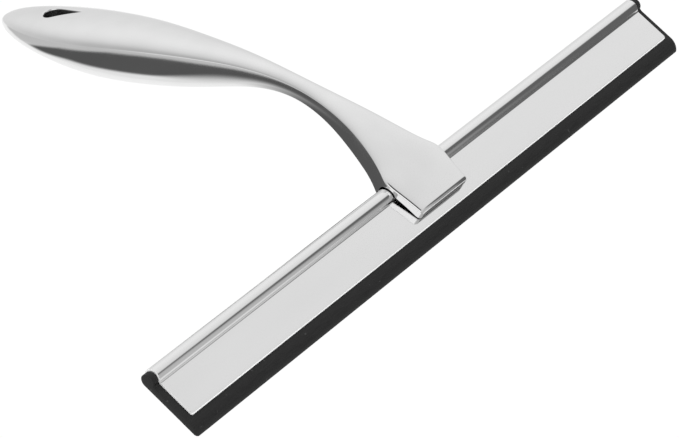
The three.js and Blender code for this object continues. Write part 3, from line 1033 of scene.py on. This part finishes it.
def white_table():
    """A plain white surface that can be looked through from below."""
    material, mix, glow, clear = flat_light("white_table", TABLE_LIGHT)
    side = material.node_tree.nodes.new("ShaderNodeNewGeometry")
    for place, source in enumerate((side.outputs["Backfacing"], glow, clear)):
        material.node_tree.links.new(source, mix.inputs[place])
    return material


def studio_mesh(name, corners, faces, material):
    """A mesh for the studio, linked to the scene and attached to none of the squeegee's bodies."""
    mesh = bpy.data.meshes.new(name)
    mesh.from_pydata(corners, [], faces)
    mesh.materials.append(material)
    panel = bpy.data.objects.new(name, mesh)
    bpy.context.scene.collection.objects.link(panel)
    return panel


def studio():
    """A white table for the camera; the metal mirrors the room's light and the shadow instead."""
    corners = [(-4, -4, 0), (4, -4, 0), (4, 4, 0), (-4, 4, 0)]
    floor = studio_mesh("floor", corners, [(0, 1, 2, 3)], white_table())
    floor.visible_glossy = False
    shadow()


def shadow():
    """The handle's soft shadow on the table, which is seen only where the metal mirrors it."""
    spacing = 1
    xs = np.arange(SHADOW_START[0], SHADOW_END[0], spacing)
    ys = np.arange(SHADOW_START[1], SHADOW_END[1], spacing)
    row = len(xs)
    faces = [(i, i + 1, i + row + 1, i + row) for start in range(0, row * (len(ys) - 1), row)
             for i in range(start, start + row - 1)]
    corners = [(x * MM, y * MM, SHADOW_LEVEL * MM) for y in ys for x in xs]
    dark = studio_mesh("shadow", corners, faces, shadow_material())
    depth = dark.data.attributes.new("depth", "FLOAT", "POINT")
    depth.data.foreach_set("value", [shadow_depth(x, y) for y in ys for x in xs])
    dark.visible_camera = dark.visible_diffuse = dark.visible_shadow = False


def shadow_depth(x, y):
    """How dark the shadow is, from 0 to 1: a leaf shape under the handle's left side, that spreads
    to the right under the head."""
    left = float(np.interp(y, *zip(*SHADOW_LEFT)))
    near = smoothstep(x, left - SHADOW_BLUR, left + SHADOW_BLUR)
    soft = SHADOW_RIGHT_BLUR[0] + SHADOW_RIGHT_BLUR[1] * smoothstep(y, *SHADOW_SOFTENS)
    edge = SHADOW_RIGHT + SHADOW_RIGHT_SHIFT * smoothstep(y, *SHADOW_SHIFTS)
    right = 1 - smoothstep(x, edge - soft, edge + soft * 0.5)
    return near * max(right, smoothstep(y, *SHADOW_SPREADS))


def shadow_material():
    """Clear where the mesh's depth is 0, and as dark as the shadow gets where it is 1."""
    material, mix, dark, clear = flat_light("shadow", SHADOW_LIGHT)
    depth = material.node_tree.nodes.new("ShaderNodeAttribute")
    depth.attribute_name = "depth"
    for place, source in enumerate((depth.outputs["Fac"], clear, dark)):
        material.node_tree.links.new(source, mix.inputs[place])
    return material


class Sky:
    """Small helpers that build a brightness from the direction a ray leaves in."""

    def __init__(self, nodes, links):
        self.nodes, self.links = nodes, links
        self.where = nodes.new("ShaderNodeTexCoord")

    def along(self, direction):
        """How close a ray's direction is to another: 1 along it, -1 against it."""
        return dotted(self.nodes, self.links, self.where.outputs["Generated"], direction)

    def ramp(self, source, start, end, low, high):
        """Goes smoothly from low, where source is start, to high, where it is end."""
        node = self.nodes.new("ShaderNodeMapRange")
        node.interpolation_type = "SMOOTHSTEP"
        for key, value in (("From Min", start), ("From Max", end), ("To Min", low), ("To Max", high)):
            node.inputs[key].default_value = value
        self.links.new(source, node.inputs["Value"])
        return node.outputs["Result"]

    def area(self, direction, start, end):
        """1 within a round area, 0 outside it."""
        return self.ramp(self.along(direction), start, end, 0.0, 1.0)

    def join(self, operation, first, second):
        return joined(self.nodes, self.links, operation, first, second)

    def blend(self, share, first, second):
        """The first brightness where share is 0, the second where it is 1."""
        node = self.nodes.new("ShaderNodeMix")
        self.links.new(share, node.inputs["Factor"])
        for key, value in (("A", first), ("B", second)):
            if isinstance(value, float):
                node.inputs[key].default_value = value
            else:
                self.links.new(value, node.inputs[key])
        return node.outputs["Result"]


def room(sky):
    """The brightness all round: grows to the back right and upwards, with a small dark area nearly
    overhead, a bright one high on the left, a dark one in front on the right, and the white table
    below, whose left side has its own brightness."""
    height = sky.along(UP)
    light = sky.join("ADD", sky.ramp(sky.along(BACK_RIGHT), -0.5, 0.9, *WALL_LIGHT),
                     sky.ramp(height, 0.0, 0.7, *CEILING_LIGHT))
    light = sky.blend(sky.area(*GLOOM), light, GLOOM_LIGHT)
    light = sky.blend(sky.area(*WINDOW), light, WINDOW_LIGHT)
    below = sky.ramp(height, -0.22, -0.27, 0.0, 1.0)
    light = sky.blend(below, light, sky.ramp(sky.along(TABLE_FAR), -0.7, 0.4, *BELOW_LIGHT))
    turned = sky.along(FRONT_LEFT)
    table = sky.join("MULTIPLY", sky.ramp(height, -0.16, -0.22, 0.0, 1.0),
                     sky.ramp(turned, 0.0, 0.05, 0.0, 1.0))
    card = sky.blend(table, sky.ramp(turned, -0.03, 0.09, *FRONT_LIGHT), FRONT_TABLE_LIGHT)
    light = sky.blend(sky.area(*FRONT), light, card)
    pale = sky.area(LEFT, 0.80, 0.92)
    side = sky.blend(pale, sky.ramp(height, -0.60, -0.85, *LEFT_LIGHT), 1.0)
    return sky.blend(sky.join("MULTIPLY", sky.area(LEFT, 0.06, 0.18), below), light, side)


def world():
    """The room's light for mirrored rays, and plain white for the camera and for diffuse light."""
    setting = bpy.data.worlds.new("studio")
    bpy.context.scene.world = setting
    setting.use_nodes = True
    nodes, links = setting.node_tree.nodes, setting.node_tree.links
    nodes.clear()
    background = nodes.new("ShaderNodeBackground")
    links.new(room(Sky(nodes, links)), background.inputs["Strength"])
    white = nodes.new("ShaderNodeBackground")
    white.inputs["Strength"].default_value = BACKDROP_LIGHT
    path = nodes.new("ShaderNodeLightPath")
    mix = nodes.new("ShaderNodeMixShader")
    output = nodes.new("ShaderNodeOutputWorld")
    camera_ray, diffuse_ray = path.outputs["Is Camera Ray"], path.outputs["Is Diffuse Ray"]
    plain = joined(nodes, links, "MAXIMUM", camera_ray, diffuse_ray)
    links.new(plain, mix.inputs["Fac"])
    links.new(background.outputs["Background"], mix.inputs[1])
    links.new(white.outputs["Background"], mix.inputs[2])
    links.new(mix.outputs["Shader"], output.inputs["Surface"])
    for node in (background, white):
        node.inputs["Color"].default_value = (1, 1, 1, 1)


# ---------------------------------------------------------------- the object

def show(piece, body, node, material):
    """Gives a piece its finish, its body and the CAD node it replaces."""
    piece.data.materials.clear()
    piece.data.materials.append(material)
    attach(piece, body)
    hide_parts(node)


casting, sheet, steel, rubber_finish = cast_metal(), sheet_steel(), screw_steel(), black_rubber()
show(handle(), "handle", "handle_casting", casting)
show(channel(), "blade", "blade_channel", sheet)
show(rubber(), "rubber", "rubber_blade", rubber_finish)
show(jaw(), "clamp", "clamp_jaw", casting)
for side, x in (("left", -SCREW_SPREAD), ("right", SCREW_SPREAD)):
    show(screw(side, x), f"screw_{side}", f"clamp_screw_{side}", steel)
    show(washer(side, x), "clamp", f"lock_washer_{side}", steel)

camera()
studio()
world()
bpy.context.scene.view_settings.view_transform = "Standard"
